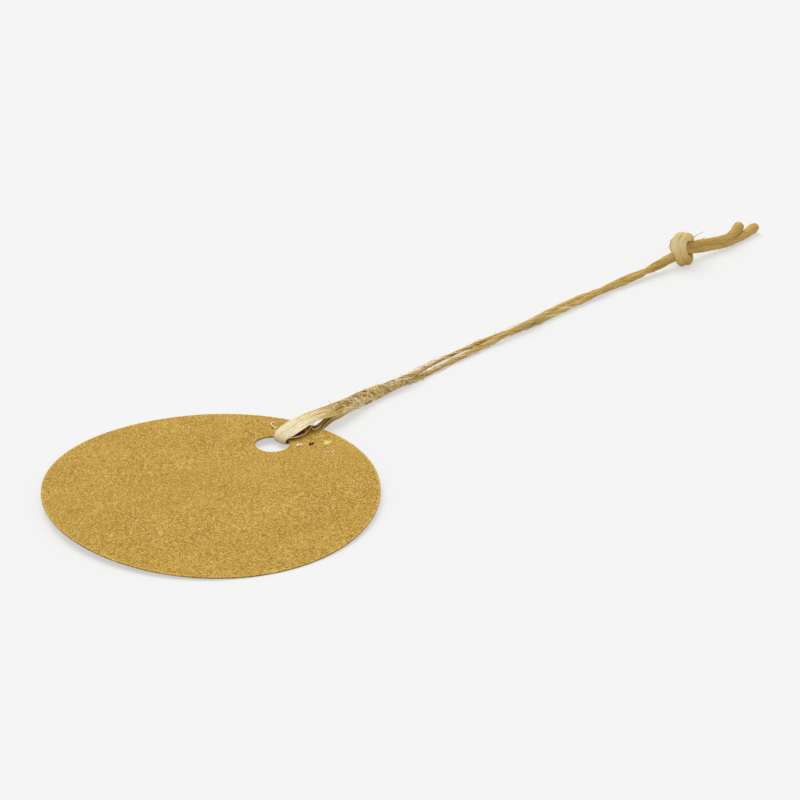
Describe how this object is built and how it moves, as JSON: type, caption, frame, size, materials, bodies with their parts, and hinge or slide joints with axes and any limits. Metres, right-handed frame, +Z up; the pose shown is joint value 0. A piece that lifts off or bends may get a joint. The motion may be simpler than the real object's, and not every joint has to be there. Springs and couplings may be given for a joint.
{
  "type": "gift tag",
  "caption": "Round kraft card tag, slightly arched, with a punched hole and a doubled jute twine loop that ends in an overhand knot and cut tails, for tying to a gift.",
  "frame": {"origin": "under the middle of the round card, on the surface that the tag lies on", "axes": "+Z up through the card's thickness, +Y from the card's middle through the punched hole"},
  "size_m": [0.05, 0.159, 0.0058],
  "materials": {
    "kraft_card": "uncoated kraft card with short light and dark fibres",
    "jute_twine": "raw jute, loosely spun, with stray fibres"
  },
  "bodies": {
    "card": {"tag_card": "kraft_card"},
    "hitch": {"twine_bight": "jute_twine"},
    "loop": {"loop_strand_left": "jute_twine", "loop_strand_right": "jute_twine", "knot_strand_left": "jute_twine", "knot_strand_right": "jute_twine", "tail_long": "jute_twine", "tail_short": "jute_twine"}
  },
  "joints": [
    {"name": "loop_swivel", "type": "hinge", "parent": "card", "child": "hitch", "pos_m": [0, 0.01618, 0], "axis": [0, 0, 1], "range_deg": [-35, 35]},
    {"name": "loop_lift", "type": "hinge", "parent": "hitch", "child": "loop", "pos_m": [0.00315, 0.03173, 0.00195], "axis": [0.9806, -0.1959, 0], "range_deg": [0, 110]}
  ]
}
